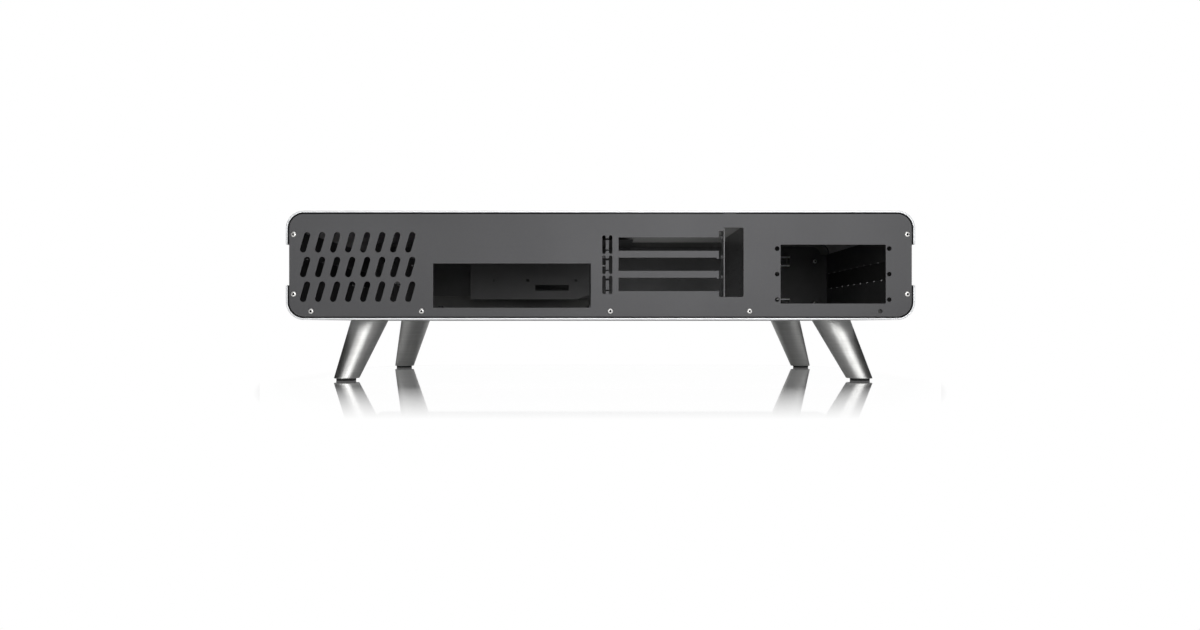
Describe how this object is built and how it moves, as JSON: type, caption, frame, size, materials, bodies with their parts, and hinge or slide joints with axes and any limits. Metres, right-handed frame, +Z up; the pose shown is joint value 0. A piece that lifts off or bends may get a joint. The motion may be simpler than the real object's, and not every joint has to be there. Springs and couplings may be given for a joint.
{
  "type": "home theatre computer case",
  "caption": "Low wide aluminium media computer case on splayed turned legs, rear panel with board, card and power supply openings.",
  "frame": {"origin": "on the ground in the middle of the case", "axes": "+Z up, +X along the case to the right as seen from the rear, +Y to the front; the rear panel faces -Y"},
  "size_m": [0.634, 0.332, 0.173],
  "materials": {
    "shell": "satin anodised silver",
    "panel": "satin, fine bead-blasted dark grey anodising",
    "fascia": "brushed, silver anodised",
    "frame": "satin black",
    "clip": "bright plated",
    "filter": "fine black woven mesh",
    "fastener": "black zinc plated",
    "screw": "nickel plated",
    "leg": "turned, satin anodised",
    "pad": "matt black",
    "switch": "satin",
    "button": "satin"
  },
  "bodies": {
    "case": {"bottom_shell": "shell", "top_cover": "shell", "rear_panel": "panel", "front_panel": "fascia", "chassis_floor": "frame", "side_panel_right": "frame", "side_panel_left": "frame", "side_filter_right": "filter", "side_filter_left": "filter", "front_wall": "frame", "front_clips": "clip", "card_rail": "frame", "divider_wall": "frame", "drive_cage": "frame", "drive_cage_inner": "frame", "standoffs": "fastener", "panel_screws": "screw", "front_wall_screws": "screw", "leg_front_right": "leg", "leg_front_left": "leg", "leg_rear_right": "leg", "leg_rear_left": "leg", "foot_pad_front_right": "pad", "foot_pad_front_left": "pad", "foot_pad_rear_right": "pad", "foot_pad_rear_left": "pad", "leg_screws": "screw", "switch_body": "switch", "switch_nut": "switch"},
    "button": {"power_button": "button"}
  },
  "joints": [
    {"name": "power_press", "type": "slide", "parent": "case", "child": "button", "axis": [0, -1, 0], "range_m": [0, 0.0015], "stiffness_N_per_m": 1200, "springref_m": -0.0008}
  ]
}
